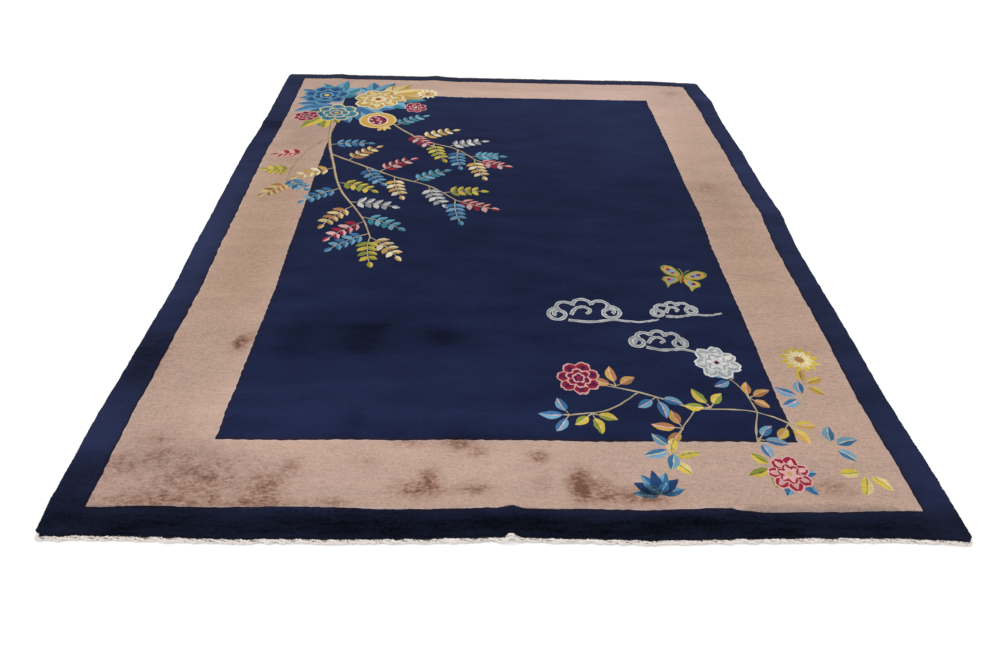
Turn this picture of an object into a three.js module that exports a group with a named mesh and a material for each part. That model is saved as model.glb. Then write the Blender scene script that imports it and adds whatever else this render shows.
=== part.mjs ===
// A hand-knotted wool rug lying on a floor, with a plaited cotton web along each end.
// Millimetres, +Z up. X runs across the rug, +Y towards its far end, and the floor is z = 0.
import * as THREE from "three";

// The rug: cotton foundation and clipped wool pile together
const RUG_WIDTH = 2740;
const RUG_LENGTH = 3660;
const RUG_THICKNESS = 12;
const CORNER_RADIUS = 22;

// Clipped pile falls away at the rim: where each wall level stands in from the edge, from the floor up
const RIM_INSETS = [0.6, 0, 0.8, 4];
const RIM_DROP = 3;
const RIM_REACH = 18;
const RIM_STEPS = [0, 9, RIM_REACH, CORNER_RADIUS];

// Spacing of the points that carry the outline and the folds
const POINT_SPACING = 140;
const LEAST_SPACING = 55;

// How far each side lies outside its straight line, along that side
const LEFT_SWAY = [
  { at: -1830, out: -6 },
  { at: -1700, out: 0 },
  { at: -1350, out: 4 },
  { at: -1070, out: -3 },
  { at: -600, out: -12 },
  { at: -250, out: -2 },
  { at: 670, out: 9 },
  { at: 1050, out: -3 },
  { at: 1830, out: 3 },
];
const RIGHT_SWAY = [
  { at: -1830, out: 12 },
  { at: -1650, out: 7 },
  { at: -1190, out: -6 },
  { at: -840, out: -2 },
  { at: -300, out: -4 },
  { at: 110, out: 15 },
  { at: 420, out: 7 },
  { at: 760, out: 6 },
  { at: 1200, out: -4 },
  { at: 1500, out: 3 },
  { at: 1830, out: -14 },
];
const NEAR_SWAY = [
  { at: -1370, out: -3 },
  { at: -1180, out: -5 },
  { at: -830, out: 4 },
  { at: -370, out: 4 },
  { at: 7, out: -4 },
  { at: 440, out: 5 },
  { at: 740, out: -2 },
  { at: 1040, out: -6 },
  { at: 1370, out: -3 },
];
const FAR_SWAY = [
  { at: -1370, out: 1 },
  { at: -1040, out: 5 },
  { at: -400, out: 5 },
  { at: -220, out: -5 },
  { at: 700, out: -5 },
  { at: 1000, out: 0 },
  { at: 1370, out: -24 },
];

// Soft ridges where the rug stands off the floor. Each is highest at x, y and runs across the rug
// or along it until it dies away at its reach. Its half width grows by spread on the way.
const RIPPLES = [
  { x: 7, y: -1830, runs: "along", reach: 330, halfWidth: 34, spread: 44, height: 17 },
  { x: -1370, y: 1050, runs: "across", reach: 450, halfWidth: 80, spread: 30, height: 7 },
  { x: 1370, y: 1500, runs: "across", reach: 280, halfWidth: 85, spread: 30, height: 6 },
  { x: 1370, y: 740, runs: "across", reach: 260, halfWidth: 90, spread: 30, height: 5 },
  { x: 1370, y: 60, runs: "across", reach: 320, halfWidth: 115, spread: 40, height: 7 },
  { x: -1040, y: 1830, runs: "along", reach: 220, halfWidth: 90, spread: 20, height: 5 },
  { x: -400, y: 1830, runs: "along", reach: 220, halfWidth: 90, spread: 20, height: 5 },
];

// The end webs: warp ends plaited into a flat two-strand rope beside the edge
const WEB_WIDTH = 16;
const WEB_HEIGHT = 7.5;
const WEB_GAP = 0.3;
const WEB_LENGTH = RUG_WIDTH - 18;
const WEB_STRANDS = 2;
const WEB_LAY = 105;
const WEB_TWIST_DEPTH = 0.16;
const WEB_LUMP_DEPTH = 0.1;
const WEB_LUMP_PITCHES = [61, 173];
const WEB_STEP = WEB_LAY / 6;
const WEB_SIDES = 8;
const WEB_KNOB_LENGTH = 14;
const WEB_TIP_SHARE = 0.6;

const NAVY_WOOL = new THREE.MeshStandardMaterial({ color: "#22284a", roughness: 0.95, metalness: 0 });
const CREAM_COTTON = new THREE.MeshStandardMaterial({ color: "#ddd5c8", roughness: 0.9, metalness: 0 });

const { clamp, lerp, smoothstep } = THREE.MathUtils;
const HALF_WIDTH = RUG_WIDTH / 2;
const HALF_LENGTH = RUG_LENGTH / 2;

// A sway table's value at a place along its side, eased from row to row
function swayAt(rows, at) {
  const next = rows.findIndex((row) => row.at >= at);
  if (next < 0) return rows.at(-1).out;
  if (next === 0) return rows[0].out;
  const from = rows[next - 1];
  const to = rows[next];
  return lerp(from.out, to.out, smoothstep(at, from.at, to.at));
}

// How high the rug stands off the floor at a place
function liftAt(x, y) {
  let lift = 0;
  for (const ripple of RIPPLES) {
    const dx = x - ripple.x;
    const dy = y - ripple.y;
    const [along, across] = ripple.runs === "along" ? [dy, dx] : [dx, dy];
    const run = Math.min(Math.abs(along) / ripple.reach, 1);
    const off = Math.min(Math.abs(across) / (ripple.halfWidth + ripple.spread * run), 1);
    lift += ripple.height * (1 - smoothstep(run, 0, 1)) * (1 - smoothstep(off, 0, 1));
  }
  return lift;
}

// A place on the rug drawn out square, moved to where it lies on the floor
function laid(x, y) {
  const across = clamp(x / HALF_WIDTH, -1, 1);
  const along = clamp(y / HALF_LENGTH, -1, 1);
  const sideOut = swayAt(across < 0 ? LEFT_SWAY : RIGHT_SWAY, y);
  const endOut = swayAt(along < 0 ? NEAR_SWAY : FAR_SWAY, x);
  return new THREE.Vector3(x + across * sideOut, y + along * endOut, liftAt(x, y));
}

// The square of each corner drawn round, as a disc is drawn from a square
function roundCorner(x, y) {
  const inX = Math.max(Math.abs(x) - (HALF_WIDTH - CORNER_RADIUS), 0) / CORNER_RADIUS;
  const inY = Math.max(Math.abs(y) - (HALF_LENGTH - CORNER_RADIUS), 0) / CORNER_RADIUS;
  if (inX === 0 || inY === 0) return [x, y];
  const roundX = HALF_WIDTH - CORNER_RADIUS * (1 - inX * Math.sqrt(1 - (inY * inY) / 2));
  const roundY = HALF_LENGTH - CORNER_RADIUS * (1 - inY * Math.sqrt(1 - (inX * inX) / 2));
  return [Math.sign(x) * roundX, Math.sign(y) * roundY];
}

// Where the lines of points run: close at the rim and over each fold, even elsewhere
function lineStations(span, folds) {
  const half = span / 2;
  const rim = RIM_STEPS.flatMap((step) => [step - half, half - step]);
  const inner = folds.filter((place) => Math.abs(place) < half - RIM_STEPS.at(-1));
  const kept = [...rim, ...inner];
  const count = Math.round(span / POINT_SPACING);
  for (let i = 1; i < count; i += 1) {
    const place = -half + (span * i) / count;
    if (kept.every((other) => Math.abs(other - place) > LEAST_SPACING)) kept.push(place);
  }
  return [...new Set(kept)].sort((a, b) => a - b);
}

// A ripple needs points on its crest, its slopes and its feet, and a tall one also along its run
const CREST_POINTS = [-1, -0.5, 0, 0.5, 1];
const RUN_POINTS = [0.15, 0.35, 0.6, 1];
const columnFolds = [];
const rowFolds = [];
for (const ripple of RIPPLES) {
  const isAlong = ripple.runs === "along";
  const crest = isAlong ? ripple.x : ripple.y;
  const root = isAlong ? ripple.y : ripple.x;
  const acrossFolds = isAlong ? columnFolds : rowFolds;
  acrossFolds.push(...CREST_POINTS.map((step) => crest + step * ripple.halfWidth));
  if (ripple.height > RUG_THICKNESS) {
    const runFolds = isAlong ? rowFolds : columnFolds;
    runFolds.push(...RUN_POINTS.map((step) => root - Math.sign(root) * step * ripple.reach));
  }
}
const COLUMNS = lineStations(RUG_WIDTH, columnFolds);
const ROWS = lineStations(RUG_LENGTH, rowFolds);

// The rug is a box of many points, each moved to its place on the lying cloth
function rugGeometry() {
  const lastColumn = COLUMNS.length - 1;
  const lastRow = ROWS.length - 1;
  const lastLevel = RIM_INSETS.length - 1;
  const geometry = new THREE.BoxGeometry(lastColumn, lastRow, lastLevel, lastColumn, lastRow, lastLevel);
  geometry.translate(lastColumn / 2, lastRow / 2, lastLevel / 2);
  const points = geometry.getAttribute("position");
  for (let i = 0; i < points.count; i += 1) {
    const column = Math.round(points.getX(i));
    const row = Math.round(points.getY(i));
    const level = Math.round(points.getZ(i));
    const inset = RIM_INSETS[level];
    const x = clamp(COLUMNS[column], inset - HALF_WIDTH, HALF_WIDTH - inset);
    const y = clamp(ROWS[row], inset - HALF_LENGTH, HALF_LENGTH - inset);
    const toEdge = Math.min(HALF_WIDTH - Math.abs(COLUMNS[column]), HALF_LENGTH - Math.abs(ROWS[row]));
    const fall = Math.max(1 - toEdge / RIM_REACH, 0);
    const top = RUG_THICKNESS - RIM_DROP * fall * fall;
    const place = laid(...roundCorner(x, y));
    points.setXYZ(i, place.x, place.y, place.z + (top * level) / lastLevel);
  }
  return geometry;
}

// The rug's edge is straight between neighbouring columns, so a web follows the same chords
function edgeAt(x, edgeY) {
  const next = clamp(COLUMNS.findIndex((column) => column > x), 1, COLUMNS.length - 1);
  const from = COLUMNS[next - 1];
  const to = COLUMNS[next];
  return laid(from, edgeY).lerp(laid(to, edgeY), (x - from) / (to - from));
}

// A web is a closed cylinder bent along the edge, its section flattened, twisted and lumpy
function webGeometry(end) {
  const steps = Math.round(WEB_LENGTH / WEB_STEP);
  const geometry = new THREE.CylinderGeometry(1, 1, WEB_LENGTH, WEB_SIDES, steps);
  const points = geometry.getAttribute("position");
  for (let i = 0; i < points.count; i += 1) {
    const along = -end * points.getY(i);
    const angle = Math.atan2(points.getX(i), points.getZ(i));
    const toTip = Math.min((WEB_LENGTH / 2 - Math.abs(along)) / WEB_KNOB_LENGTH, 1);
    const knob = lerp(WEB_TIP_SHARE, 1, Math.sqrt(toTip));
    const turn = (2 * Math.PI * along * end) / WEB_LAY;
    const twist = Math.cos(WEB_STRANDS * (angle - turn));
    const lumps = WEB_LUMP_PITCHES.reduce((sum, pitch) => sum + Math.sin((2 * Math.PI * along) / pitch), 0);
    const swell = 1 + WEB_TWIST_DEPTH * twist + (WEB_LUMP_DEPTH * lumps) / WEB_LUMP_PITCHES.length;
    const reach = Math.hypot(points.getX(i), points.getZ(i)) * knob * swell;
    const out = Math.max((WEB_WIDTH / 2) * (1 + reach * Math.sin(angle)), 0);
    const up = Math.max((WEB_HEIGHT / 2) * (1 + reach * Math.cos(angle)), 0);
    const edge = edgeAt(along, end * HALF_LENGTH);
    points.setXYZ(i, edge.x, edge.y + end * (WEB_GAP + out), edge.z + up);
  }
  return geometry;
}

function piece(name, geometry, material) {
  const mesh = new THREE.Mesh(geometry, material);
  mesh.name = name;
  return mesh;
}

const lying = new THREE.Group();
lying.add(
  piece("rug", rugGeometry(), NAVY_WOOL),
  piece("near_end_web", webGeometry(-1), CREAM_COTTON),
  piece("far_end_web", webGeometry(1), CREAM_COTTON),
);

// The origin is on the floor under the middle of the whole
const extent = new THREE.Box3().setFromObject(lying);
const middle = extent.getCenter(new THREE.Vector3());
lying.position.set(-middle.x, -middle.y, -extent.min.z);

const part = new THREE.Group();
part.add(lying);
export default part;
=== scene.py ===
import math
from functools import partial

import bpy
import numpy as np
from mathutils import Matrix, Vector, geometry


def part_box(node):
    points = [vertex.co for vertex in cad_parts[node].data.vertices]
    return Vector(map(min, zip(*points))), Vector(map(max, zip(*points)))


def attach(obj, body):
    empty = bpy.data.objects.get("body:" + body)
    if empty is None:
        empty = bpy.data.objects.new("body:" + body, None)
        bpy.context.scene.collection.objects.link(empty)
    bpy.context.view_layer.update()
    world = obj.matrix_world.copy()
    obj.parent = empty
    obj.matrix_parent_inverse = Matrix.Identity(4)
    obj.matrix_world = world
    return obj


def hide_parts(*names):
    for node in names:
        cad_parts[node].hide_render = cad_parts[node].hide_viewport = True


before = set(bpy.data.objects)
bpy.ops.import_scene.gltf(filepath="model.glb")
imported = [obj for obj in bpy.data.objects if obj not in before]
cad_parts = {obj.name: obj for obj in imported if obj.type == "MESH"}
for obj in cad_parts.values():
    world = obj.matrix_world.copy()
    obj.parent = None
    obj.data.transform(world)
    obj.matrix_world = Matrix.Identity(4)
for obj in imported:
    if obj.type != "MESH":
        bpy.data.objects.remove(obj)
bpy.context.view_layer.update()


# Wool pile.
# Soft wool knotted row by row round cotton warps and clipped level, about 9 mm long above the foundation.
# A navy band, a wide tan border and a navy field, with flower sprays knotted into two opposite corners.

RUG_WIDTH, RUG_LENGTH = 2.74, 3.66
PILE_TOP, PILE_FOOT = 0.012, 0.0032
CORNER_RADIUS = 0.022
RIM_DROP, RIM_REACH = 0.003, 0.018
EDGE_WAVER, END_WAVER = 0.0014, 0.0022

# How far each edge strays outwards from straight, by the place along it.
LEFT_SWAY = (
    (-1.83, -0.006), (-1.7, 0.002), (-1.35, 0.004), (-1.07, -0.003), (-0.6, -0.012), (-0.25, -0.002),
    (0.67, 0.009), (1.05, -0.003), (1.83, 0.003),
)
RIGHT_SWAY = (
    (-1.83, 0.007), (-1.65, 0.005), (-1.19, -0.006), (-0.84, -0.002), (-0.3, -0.004), (0.11, 0.015),
    (0.42, 0.007), (0.76, 0.006), (1.2, -0.004), (1.5, 0.003), (1.83, -0.021),
)
NEAR_SWAY = (
    (-1.37, -0.003), (-1.18, -0.005), (-0.83, 0.004), (-0.37, 0.004), (0.007, -0.004), (0.44, 0.005),
    (0.74, -0.002), (1.04, -0.006), (1.25, -0.002), (1.37, 0.006),
)
FAR_SWAY = (
    (-1.37, 0.001), (-1.04, 0.005), (-0.4, 0.005), (-0.22, -0.005), (0.7, -0.005), (1, 0), (1.37, -0.024),
)

# Low ripples that run in from an edge: x, y, whether they run along y, reach, half width, spread, height.
RIPPLES = (
    (0.007, -1.83, True, 0.33, 0.034, 0.044, 0.017), (-1.37, 1.05, False, 0.45, 0.08, 0.03, 0.007),
    (1.37, 1.5, False, 0.28, 0.085, 0.03, 0.006), (1.37, 0.74, False, 0.26, 0.09, 0.03, 0.005),
    (1.37, 0.06, False, 0.32, 0.115, 0.04, 0.007), (-1.04, 1.83, True, 0.22, 0.09, 0.02, 0.005),
    (-0.4, 1.83, True, 0.22, 0.09, 0.02, 0.005),
)


def eased(rows, at):
    """The value of a table of (place, value) rows at these places, eased from row to row."""
    place, value = np.array(rows).T
    row = np.clip(np.searchsorted(place, at) - 1, 0, len(place) - 2)
    t = np.clip((at - place[row]) / (place[row + 1] - place[row]), 0, 1)
    return value[row] + (value[row + 1] - value[row]) * t * t * (3 - 2 * t)


def laid(flat, height):
    """Where points of the flat cloth come to lie on the floor, at this height above it."""
    x, y = flat.T
    across = np.clip(x / (RUG_WIDTH / 2), -1, 1)
    along = np.clip(y / (RUG_LENGTH / 2), -1, 1)
    side_waver = EDGE_WAVER * across ** 12 * np.sin(61 * y + 2 * np.sin(23 * y)) * np.sin(17 * y + across)
    end_waver = END_WAVER * along ** 12 * np.sin(53 * x + 2 * np.sin(19 * x)) * np.sin(13 * x + along)
    lift = np.zeros(len(x))
    for at_x, at_y, runs_along, reach, half_width, spread, rise in RIPPLES:
        inward, aside = (y - at_y, x - at_x) if runs_along else (x - at_x, y - at_y)
        run = np.minimum(np.abs(inward) / reach, 1)
        off = np.minimum(np.abs(aside) / (half_width + spread * run), 1)
        lift += rise * (1 - run * run * (3 - 2 * run)) * (1 - off * off * (3 - 2 * off))
    outwards = across * (side_waver + np.where(across < 0, eased(LEFT_SWAY, y), eased(RIGHT_SWAY, y)))
    endwards = along * (end_waver + np.where(along < 0, eased(NEAR_SWAY, x), eased(FAR_SWAY, x)))
    return np.stack([x + outwards, y + endwards, height + lift], 1)


# The dyes of the wool: dusk is the outer band's navy. Two dyes are lines of painted light beside each border
# edge: a painted shade line on its navy side and a painted highlight line on its tan side.
DYES = {
    "navy": "#1a213e", "dusk": "#1f253f", "ink": "#241e2c", "tan": "#b5998a", "sand": "#b3a09a",
    "blue": "#38668e", "indigo": "#26426b", "sky": "#6995ac", "teal": "#387786",
    "gold": "#b8934c", "straw": "#c8b47e", "cream": "#d6caaa", "yellow": "#c6ad4a",
    "olive": "#858b39", "moss": "#52613a", "orange": "#9f7048", "bark": "#84674a", "stem": "#ab9d80",
    "red": "#8f2439", "pink": "#cb9f9b", "crimson": "#531b40", "grey": "#8d9095", "white": "#c3c2be",
}
KNOT, KNOT_STRAY = 0.0034, 0.0011

drawing = []


def paint(points, dye):
    """Knots a closed outline in one dye over what lies there already, as uneven as single knots make it."""
    p = np.asarray(points, float)
    x, y = p.T
    stray = KNOT_STRAY * np.stack([np.sin(523 * x + 311 * y), np.sin(401 * x - 587 * y)], 1)
    drawing.append((np.round((p + stray) * 2 / KNOT) * KNOT / 2, dye))


def placed(points, at, turn):
    """Points turned by this many degrees and moved to their place."""
    c, s = math.cos(math.radians(turn)), math.sin(math.radians(turn))
    return np.asarray(points, float) @ np.array([[c, s], [-s, c]]) + np.asarray(at, float)


def beside(at, turn, reach, aside=0):
    """The point at this reach from a place in this direction, and this far to the left of it."""
    return placed([(reach, aside)], at, turn)[0]


def rounded_path(points, steps=6, closed=False):
    """A smooth path through these points."""
    p = np.asarray(points, float)
    if closed:
        p = np.vstack([p[-1:], p, p[:2]])
    else:
        p = np.vstack([2 * p[:1] - p[1:2], p, 2 * p[-1:] - p[-2:-1]])
    t = np.linspace(0, 1, steps, endpoint=False)[:, None]
    runs = [
        0.5 * (2 * b + (c - a) * t + (2 * a - 5 * b + 4 * c - d) * t ** 2 + (3 * b - a - 3 * c + d) * t ** 3)
        for a, b, c, d in zip(p[:-3], p[1:-2], p[2:-1], p[3:])
    ]
    return np.vstack(runs if closed else runs + [p[-2:-1]])


def ribbon(points, first, last, dye, steps=6):
    """A stem or scroll along a smooth path, from its first width to its last."""
    path = rounded_path(points, steps)
    run = np.gradient(path, axis=0)
    side = np.stack([-run[:, 1], run[:, 0]], 1) / np.linalg.norm(run, axis=1)[:, None]
    half = np.linspace(first, last, len(path))[:, None] / 2
    paint(np.vstack([path + side * half, (path - side * half)[::-1]]), dye)


VEIN_HALF = 0.0019


def leaf(at, turn, length, width, dye, lit=None, vein=None, bend=0):
    """A pointed leaf or petal from its stalk, one half in a lighter dye, with a vein down its middle."""
    t = np.linspace(0, 1, 8)
    half = width / 2 * np.sin(np.pi * t ** 0.85) ** 0.85
    middle = bend * length * 4 * t * (1 - t)
    upper, lower, spine = [np.stack([length * t, middle + side * half], 1) for side in (1, -1, 0)]
    paint(placed(np.vstack([upper, lower[-2:0:-1]]), at, turn), dye)
    if lit:
        paint(placed(np.vstack([upper, spine[-2:0:-1]]), at, turn), lit)
    if vein:
        thin = np.stack([0 * t, np.where((t > 0) & (t < 0.95), VEIN_HALF, 0)], 1)
        paint(placed(np.vstack([spine + thin, (spine - thin)[-2:0:-1]]), at, turn), vein)


def trefoil(at, turn, size, dye, lit, vein):
    """Three leaves on short stalks."""
    for swing, share in ((-64, 0.82), (58, 0.86), (0, 1)):
        foot = beside(at, turn + swing, size * 0.26)
        ribbon((at, foot), 0.005, 0.004, "stem", 2)
        leaf(foot, turn + swing, size * share, size * 0.46, dye, lit, vein, 0.05)


def rosette(at, radius, lobes, depth, turn, dye, ruffle=0):
    """A round outline with this many rounded lobes."""
    angle = np.linspace(0, 2 * np.pi, 8 * lobes, endpoint=False)
    swell = np.abs(np.cos(lobes * angle / 2)) ** 0.6
    uneven = 1 + 0.05 * np.sin(2 * angle + turn) + 0.03 * np.sin(3 * angle + 2 * turn)
    reach = radius * uneven * (1 - depth * (1 - swell) - ruffle * np.cos(3 * lobes * angle))
    paint(placed(np.stack([reach * np.cos(angle), reach * np.sin(angle)], 1), at, turn), dye)


def peony(at, radius, turn, rim, body, inner, heart):
    """A full bloom of three rows of ruffled petals, each row with a rim."""
    rosette(at, radius, 7, 0.24, turn, rim, 0.03)
    rosette(at, radius * 0.91, 7, 0.26, turn, body, 0.03)
    for petal in range(7):
        spoke = turn + petal * 360 / 7
        leaf(beside(at, spoke, radius * 0.42), spoke, radius * 0.44, radius * 0.26, inner)
        split = spoke + 180 / 7
        leaf(beside(at, split, radius * 0.3), split, radius * 0.44, radius * 0.06, rim)
    rosette(at, radius * 0.6, 6, 0.28, turn + 20, rim, 0.03)
    rosette(at, radius * 0.52, 6, 0.3, turn + 20, body, 0.03)
    for petal in range(6):
        spoke = turn + 20 + petal * 60
        leaf(beside(at, spoke, radius * 0.2), spoke, radius * 0.28, radius * 0.18, inner)
    for share, depth, dye in ((0.32, 0.26, rim), (0.24, 0.28, inner), (0.12, 0.3, heart)):
        rosette(at, radius * share, 5, depth, turn, dye)


def aster(at, radius, turn, back, front, heart):
    """A flat bloom of two rows of twelve narrow petals round a small heart."""
    for dye, vein, share, wide, shift in ((back, None, 1, 0.36, 0), (front, back, 0.72, 0.27, 0.5)):
        for petal in range(12):
            spoke = turn + (petal + shift) * 30
            foot = beside(at, spoke, radius * 0.12)
            leaf(foot, spoke, radius * (share - 0.12), radius * wide, dye, vein=vein)
    rosette(at, radius * 0.24, 8, 0.2, turn, heart)


def fan_bloom(at, radius, turn, back, front, lit):
    """A bloom seen from its side, its pointed petals fanned out from the stalk."""
    for spread, share in ((84, 0.9), (55, 0.97), (27, 1), (0, 1.04)):
        dyes = (front, None) if spread in (55, 0) else (back, lit)
        for side in (1, -1) if spread else (1,):
            leaf(at, turn + side * spread, radius * share, radius * 0.42, *dyes)
    for spread in (40, -40):
        leaf(at, turn + spread, radius * 0.6, radius * 0.34, back, vein=lit)


LEAFLET_LENGTH, LEAFLET_WIDTH, TIP_WIDTH = 0.066, 0.029, 0.028


def spray(at, turn, length, dye, lit, bend):
    """A thin bent stalk with pairs of leaflets and one at its tip."""
    t = np.linspace(0, 1, 5)
    ribbon(placed(np.stack([length * t, bend * length * t * t], 1), at, turn), 0.006, 0.004, "stem", 3)
    for pair in range(5):
        reach = 0.22 + 0.195 * pair
        foot = beside(at, turn, length * reach, bend * length * reach * reach)
        heading = turn + math.degrees(math.atan(2 * bend * reach))
        size = LEAFLET_LENGTH * (1 - 0.3 * reach)
        if pair == 4:
            leaf(foot, heading, size, TIP_WIDTH, dye, lit=lit)
        else:
            leaf(foot, heading + 56, size, LEAFLET_WIDTH, dye, lit=lit)
            leaf(foot, heading - 56, size, LEAFLET_WIDTH, lit if pair % 2 else dye)


def lobed_leaf(at, turn, size, dye, lit, vein):
    """A broad leaf cut into five pointed lobes."""
    for swing, share in ((-74, 0.62), (74, 0.62), (-38, 0.86), (38, 0.86), (0, 1)):
        leaf(at, turn + swing, size * share, size * 0.4, dye, lit, vein)


def pomegranate(at, turn, size):
    """A round fruit with a small crown, split open over rows of seeds."""
    for swing in (-32, 32, 0):
        leaf(beside(at, turn, size * 0.36), turn + swing, size * 0.3, size * 0.14, "gold", "straw")
    angle = np.linspace(0, 2 * np.pi, 28, endpoint=False)
    round_line = np.stack([np.cos(angle), np.sin(angle)], 1)
    skins = (0.46, 1, "straw"), (0.42, 1, "gold"), (0.31, 0.8, "cream"), (0.27, 0.8, "crimson")
    for reach, wide, dye in skins:
        paint(placed(round_line * (size * reach, size * reach * wide), at, turn), dye)
    for row in range(-2, 3):
        for seed in range(-2, 3):
            place = np.array((row * 0.095, (seed + 0.5 * (row % 2)) * 0.095)) * size
            if np.hypot(place[0] / 0.24, place[1] / 0.18) < size:
                dye = "red" if seed % 2 else "pink"
                rosette(beside(at, turn, *place), size * 0.042, 4, 0.05, turn, dye)


def cloud(at, size, turn):
    """A cloud drawn as a scalloped arch of ribbon whose ends curl in, with a drifting tail."""
    arch = []
    for phi in (172, 131, 90, 49, 8):
        first, last = phi + 92, phi - 92
        angles = np.linspace(first, last, 6)
        reach = np.full(6, 0.27)
        if phi == 172:
            angles = np.r_[np.linspace(first + 330, first, 10)[:-1], angles]
            reach = np.r_[np.linspace(0.07, 0.27, 10)[:-1], reach]
        if phi == 8:
            angles = np.r_[angles, np.linspace(last, last - 330, 10)[1:]]
            reach = np.r_[reach, np.linspace(0.27, 0.07, 10)[1:]]
        middle = (0.78 * math.cos(math.radians(phi)), 0.46 * math.sin(math.radians(phi)))
        scallop = np.stack([np.cos(np.radians(angles)), np.sin(np.radians(angles))], 1)
        arch.append(scallop * reach[:, None] + middle)
    tail = np.array([(-0.5, -0.24), (0.1, -0.36), (0.8, -0.3), (1.5, -0.44), (2.1, -0.36)])
    curl = rounded_path(((-0.4, 0), (-0.2, 0.3), (0.06, 0.34), (0.2, 0.16), (0.06, 0.02)))
    for dye, width in (("white", 0.017), ("grey", 0.0095)):
        ribbon(placed(tail * size, at, turn), width, width * 0.5, dye)
        ribbon(placed(np.vstack(arch) * size, at, turn), width, width, dye, 2)
        ribbon(placed(curl * size, at, turn), width, width * 0.8, dye, 1)


def butterfly(at, span, turn, wing, edge, spot, mark):
    """A butterfly with open wings, seen from above."""
    upper = ((0.04, 0.06), (0.22, 0.5), (0.58, 0.8), (0.92, 0.76), (1, 0.5), (0.76, 0.16), (0.36, 0.02))
    lower = ((0.04, 0), (0.4, 0), (0.74, -0.08), (0.82, -0.36), (0.62, -0.56), (0.5, -0.86), (0.38, -0.58),
             (0.16, -0.34))
    for side in (1, -1):
        size = np.array([side, 1]) * span / 2
        for outline, about in ((lower, (0.45, -0.26)), (upper, (0.56, 0.42))):
            shape = rounded_path(outline, 4, True)
            paint(placed(shape * size, at, turn), edge)
            for share, dye in ((0.8, wing), (0.5, mark)):
                paint(placed(((shape - about) * share + about) * size, at, turn), dye)
        for x, y, radius in ((0.66, 0.5, 0.11), (0.44, 0.3, 0.08), (0.52, -0.26, 0.1), (0.9, 0.62, 0.05)):
            rosette(beside(at, turn, *(size * (x, y))), radius * span / 2, 5, 0.1, turn, spot)
        feeler = np.array([(0.02, 0.3), (0.1, 0.56), (0.24, 0.72)])
        ribbon(placed(feeler * size, at, turn), 0.005, 0.004, edge, 4)
    leaf(beside(at, turn, 0, -0.2 * span), turn + 90, 0.38 * span, 0.08 * span, spot, lit=edge)


# The borders, from the outer band inwards, each edge of them with a painted shade line on its navy side and a
# painted highlight line on its tan side.
BAND_EDGE = (-1.256, 1.268, -1.728, 1.751)
FIELD_EDGE = (-0.95, 0.965, -1.45, 1.49)
FRAMES = (
    (BAND_EDGE, 0.007, "ink"), (BAND_EDGE, 0, "sand"), (BAND_EDGE, -0.005, "tan"),
    (FIELD_EDGE, 0.005, "sand"), (FIELD_EDGE, 0, "ink"), (FIELD_EDGE, -0.009, "navy"),
)
LINE_WAVE, KNOT_WAVE = 0.001, 0.0005

# How far the lines bend from straight: the near one to the far side by x, the right one to the right by y.
BAND_BENDS = (
    ((-1.25, -0.003), (-0.95, 0.004), (-0.6, 0.01), (-0.35, 0.001), (0.1, -0.001), (0.45, 0.003),
     (0.65, 0.006), (0.78, -0.009), (1, -0.013), (1.1, -0.006), (1.25, -0.004)),
    ((-1.7, -0.003), (-1.35, -0.005), (-0.8, 0), (1.3, 0), (1.55, -0.016), (1.75, -0.012)),
)
FIELD_BENDS = (
    ((-0.95, -0.002), (-0.4, 0.002), (0.1, -0.001), (0.5, 0.003), (0.95, -0.003)),
    ((-1.45, 0.01), (-0.7, 0.009), (-0.1, 0.006), (0.4, 0.001), (1.2, 0), (1.47, -0.012)),
)


def framed(edges, widened, near_bend, right_bend):
    """A long rectangle widened by this much, its sides bent, and as wavy as rows of knots are."""
    x0, x1, y0, y1 = np.array(edges) + widened * np.array((-1, 1, -1, 1))
    corners = np.array([(x0, y0), (x1, y0), (x1, y1), (x0, y1)])
    loop = np.vstack([
        start + (end - start) * np.linspace(0, 1, steps)[:-1, None]
        for start, end, steps in zip(corners, np.roll(corners, -1, 0), (160, 220, 160, 220))
    ])
    x, y = loop.T
    wave = LINE_WAVE * np.sin(x * 19 + y * 31) + KNOT_WAVE * np.sin(x * 161 - y * 123)
    aside = np.where(x > 0, eased(right_bend, y), 0)
    farther = np.where(y < 0, eased(near_bend, x), 0)
    return loop + wave[:, None] + np.stack([aside, farther], 1)


for edges, widened, dye in FRAMES:
    paint(framed(edges, widened, *(BAND_BENDS if edges == BAND_EDGE else FIELD_BENDS)), dye)

# Far left corner: broad leaves, blooms and a fruit on the border, and thin branches that hang into the field.
BLUE, TEAL = ("blue", "sky", "indigo"), ("teal", "sky", "indigo")
OLIVE, GOLD = ("olive", "yellow", "moss"), ("gold", "straw", "bark")
for x, y, turn, size, dyes in (
    (-1.04, 1.44, 148, 0.23, BLUE), (-1.02, 1.47, 78, 0.25, TEAL), (-1.06, 1.32, 214, 0.2, BLUE),
    (-0.98, 1.28, 258, 0.29, BLUE), (-0.78, 1.5, 58, 0.23, BLUE), (-0.72, 1.44, -6, 0.28, TEAL),
    (-0.84, 1.3, -44, 0.26, BLUE), (-1.02, 1.16, 236, 0.22, OLIVE), (-0.66, 1.5, 22, 0.24, GOLD),
):
    lobed_leaf((x, y), turn, size, *dyes)
BRANCHES = (
    (0.02, ((-0.98, 1.14), (-0.95, 0.85), (-0.88, 0.55), (-0.8, 0.25), (-0.66, -0.02), (-0.6, -0.2))),
    (0.012, ((-0.9, 0.64), (-0.7, 0.5), (-0.52, 0.38), (-0.36, 0.3), (-0.22, 0.16))),
    (0.014, ((-0.75, 1.24), (-0.56, 0.98), (-0.4, 0.82), (-0.24, 0.74), (-0.12, 0.6))),
    (0.012, ((-0.95, 0.85), (-1.03, 0.7), (-1.08, 0.5), (-1.08, 0.32))),
)
for first, path in BRANCHES:
    ribbon(path, first, 0.006, "bark")
    ribbon(np.array(path) + (0.001, 0.001), first * 0.6, 0.0045, "stem")
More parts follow.
